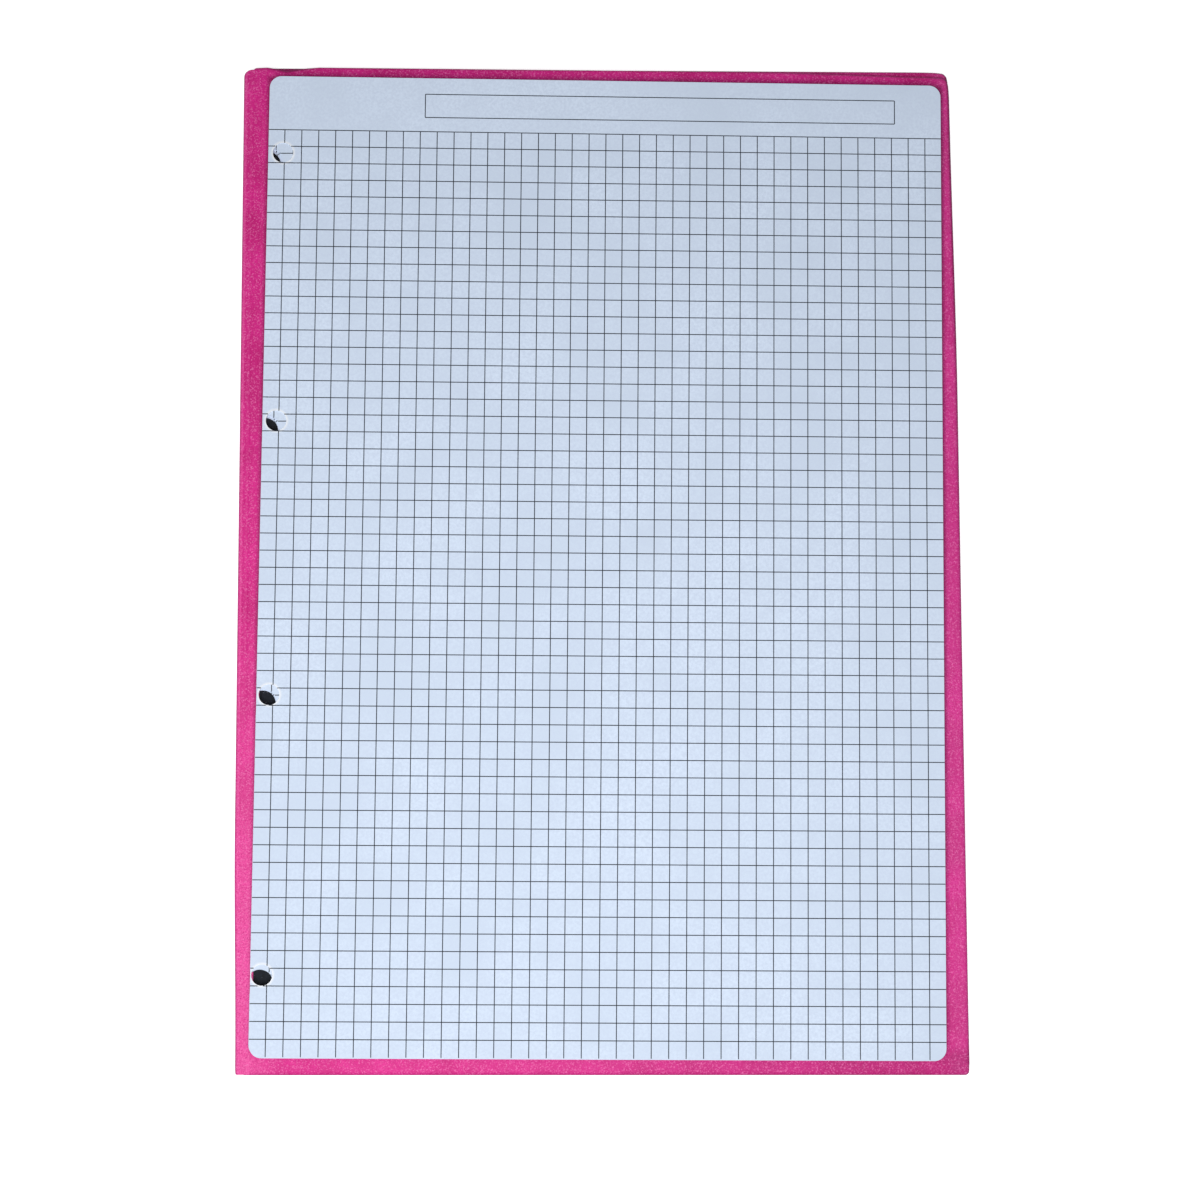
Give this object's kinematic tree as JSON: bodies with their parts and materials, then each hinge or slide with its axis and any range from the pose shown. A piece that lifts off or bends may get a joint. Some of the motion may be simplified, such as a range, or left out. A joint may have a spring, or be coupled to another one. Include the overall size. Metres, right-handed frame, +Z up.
{
  "type": "scoring board",
  "caption": "A4 leatherette board folio folded right round as a flat writing and scoring surface, with a backing card and loose punched squared sheets.",
  "frame": {"origin": "middle of the folded board's footprint, on the surface it lies on", "axes": "+X across the sheets from the punched edge to the fore-edge, +Y up the sheets to their header, +Z up off the table"},
  "size_m": [0.2134, 0.2984, 0.009],
  "materials": {
    "fuchsia_leatherette": "matte fine-grained leatherette",
    "fuchsia_lining": "matte fine-grained leatherette, flatter grain",
    "greyboard": "raw grey board",
    "black_card": "matte black card",
    "squared_paper": "smooth uncoated white paper with a printed 5 mm grid"
  },
  "bodies": {
    "back_cover": {"back_cover_core": "greyboard", "back_cover_skin": "fuchsia_leatherette", "back_cover_lining": "fuchsia_lining", "back_hinge_strip": "fuchsia_lining"},
    "spine": {"spine_core": "greyboard", "spine_skin": "fuchsia_leatherette", "spine_lining": "fuchsia_lining"},
    "front_cover": {"front_cover_core": "greyboard", "front_cover_skin": "fuchsia_leatherette", "front_cover_lining": "fuchsia_lining", "front_hinge_strip": "fuchsia_lining"},
    "backing_card": {"backing_card": "black_card"},
    "sheet_01": {"sheet_01": "squared_paper"},
    "sheet_02": {"sheet_02": "squared_paper"},
    "sheet_03": {"sheet_03": "squared_paper"},
    "sheet_04": {"sheet_04": "squared_paper"},
    "sheet_05": {"sheet_05": "squared_paper"},
    "sheet_06": {"sheet_06": "squared_paper"},
    "sheet_07": {"sheet_07": "squared_paper"},
    "sheet_08": {"sheet_08": "squared_paper"},
    "sheet_09": {"sheet_09": "squared_paper"},
    "sheet_10": {"sheet_10": "squared_paper"},
    "sheet_11": {"sheet_11": "squared_paper"},
    "sheet_12": {"sheet_12": "squared_paper"},
    "sheet_13": {"sheet_13": "squared_paper"},
    "sheet_14": {"sheet_14": "squared_paper"},
    "sheet_15": {"sheet_15": "squared_paper"},
    "sheet_16": {"sheet_16": "squared_paper"}
  },
  "joints": [
    {"name": "spine_hinge", "type": "hinge", "parent": "back_cover", "child": "spine", "pos_m": [-0.10672, 0, 0.0049], "axis": [0, 1, 0], "range_deg": [0, 180]},
    {"name": "front_cover_hinge", "type": "hinge", "parent": "spine", "child": "front_cover", "pos_m": [-0.10672, 0, 0], "axis": [0, 1, 0], "range_deg": [0, 180]},
    {"name": "backing_card_slide", "type": "slide", "parent": "back_cover", "child": "backing_card", "axis": [1, 0, 0], "range_m": [0, 0.21]},
    {"name": "sheet_01_slide", "type": "slide", "parent": "back_cover", "child": "sheet_01", "axis": [1, 0, 0], "range_m": [0, 0.21]},
    {"name": "sheet_02_slide", "type": "slide", "parent": "back_cover", "child": "sheet_02", "axis": [1, 0, 0], "range_m": [0, 0.21]},
    {"name": "sheet_03_slide", "type": "slide", "parent": "back_cover", "child": "sheet_03", "axis": [1, 0, 0], "range_m": [0, 0.21]},
    {"name": "sheet_04_slide", "type": "slide", "parent": "back_cover", "child": "sheet_04", "axis": [1, 0, 0], "range_m": [0, 0.21]},
    {"name": "sheet_05_slide", "type": "slide", "parent": "back_cover", "child": "sheet_05", "axis": [1, 0, 0], "range_m": [0, 0.21]},
    {"name": "sheet_06_slide", "type": "slide", "parent": "back_cover", "child": "sheet_06", "axis": [1, 0, 0], "range_m": [0, 0.21]},
    {"name": "sheet_07_slide", "type": "slide", "parent": "back_cover", "child": "sheet_07", "axis": [1, 0, 0], "range_m": [0, 0.21]},
    {"name": "sheet_08_slide", "type": "slide", "parent": "back_cover", "child": "sheet_08", "axis": [1, 0, 0], "range_m": [0, 0.21]},
    {"name": "sheet_09_slide", "type": "slide", "parent": "back_cover", "child": "sheet_09", "axis": [1, 0, 0], "range_m": [0, 0.21]},
    {"name": "sheet_10_slide", "type": "slide", "parent": "back_cover", "child": "sheet_10", "axis": [1, 0, 0], "range_m": [0, 0.21]},
    {"name": "sheet_11_slide", "type": "slide", "parent": "back_cover", "child": "sheet_11", "axis": [1, 0, 0], "range_m": [0, 0.21]},
    {"name": "sheet_12_slide", "type": "slide", "parent": "back_cover", "child": "sheet_12", "axis": [1, 0, 0], "range_m": [0, 0.21]},
    {"name": "sheet_13_slide", "type": "slide", "parent": "back_cover", "child": "sheet_13", "axis": [1, 0, 0], "range_m": [0, 0.21]},
    {"name": "sheet_14_slide", "type": "slide", "parent": "back_cover", "child": "sheet_14", "axis": [1, 0, 0], "range_m": [0, 0.21]},
    {"name": "sheet_15_slide", "type": "slide", "parent": "back_cover", "child": "sheet_15", "axis": [1, 0, 0], "range_m": [0, 0.21]},
    {"name": "sheet_16_slide", "type": "slide", "parent": "back_cover", "child": "sheet_16", "axis": [1, 0, 0], "range_m": [0, 0.21]}
  ]
}
